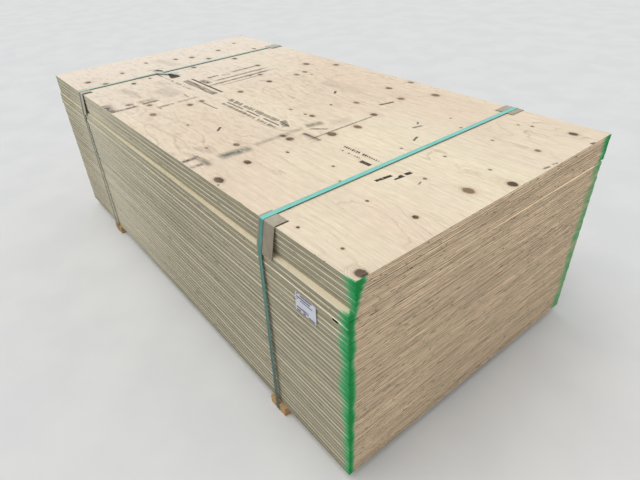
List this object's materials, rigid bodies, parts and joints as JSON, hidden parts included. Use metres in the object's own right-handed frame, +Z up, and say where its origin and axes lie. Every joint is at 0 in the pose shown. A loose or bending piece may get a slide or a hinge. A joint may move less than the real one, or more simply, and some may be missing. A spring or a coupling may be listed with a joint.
{
  "type": "stack of plywood sheets",
  "caption": "Strapped stack of thick plywood sheets in two packs, the upper set back on the lower, with plastic straps over bent edge guards, on flat wooden bearers.",
  "frame": {"origin": "middle of the stack on the floor, under the centre of its box", "axes": "+X along the sheets' length, +Y across them towards the back, +Z up; the front is the long side where the lower pack makes a ledge"},
  "size_m": [2.446, 1.2546, 0.8326],
  "materials": {
    "plywood": "sawn edges, sanded face veneers",
    "bearer_wood": "rough sawn",
    "strap": "embossed, slightly glossy",
    "guard": "dull pressed board",
    "label_paper": "matt paper"
  },
  "bodies": {
    "root": {"lower_sheet_1": "plywood", "lower_sheet_2": "plywood", "lower_sheet_3": "plywood", "lower_sheet_4": "plywood", "lower_sheet_5": "plywood", "lower_sheet_6": "plywood", "lower_sheet_7": "plywood", "lower_sheet_8": "plywood", "lower_sheet_9": "plywood", "lower_sheet_10": "plywood", "lower_sheet_11": "plywood", "lower_sheet_12": "plywood", "lower_sheet_13": "plywood", "lower_sheet_14": "plywood", "lower_sheet_15": "plywood", "lower_sheet_16": "plywood", "lower_sheet_17": "plywood", "lower_sheet_18": "plywood", "lower_sheet_19": "plywood", "lower_sheet_20": "plywood", "lower_sheet_21": "plywood", "lower_sheet_22": "plywood", "lower_sheet_23": "plywood", "lower_sheet_24": "plywood", "lower_sheet_25": "plywood", "lower_sheet_26": "plywood", "lower_sheet_27": "plywood", "lower_sheet_28": "plywood", "lower_sheet_29": "plywood", "lower_sheet_30": "plywood", "lower_sheet_31": "plywood", "lower_sheet_32": "plywood", "lower_sheet_33": "plywood", "lower_sheet_34": "plywood", "lower_sheet_35": "plywood", "upper_sheet_1": "plywood", "upper_sheet_2": "plywood", "upper_sheet_3": "plywood", "upper_sheet_4": "plywood", "upper_sheet_5": "plywood", "near_bearer": "bearer_wood", "far_bearer": "bearer_wood", "near_strap": "strap", "far_strap": "strap", "near_front_guard": "guard", "near_back_guard": "guard", "far_front_guard": "guard", "far_back_guard": "guard", "label": "label_paper"}
  },
  "joints": []
}
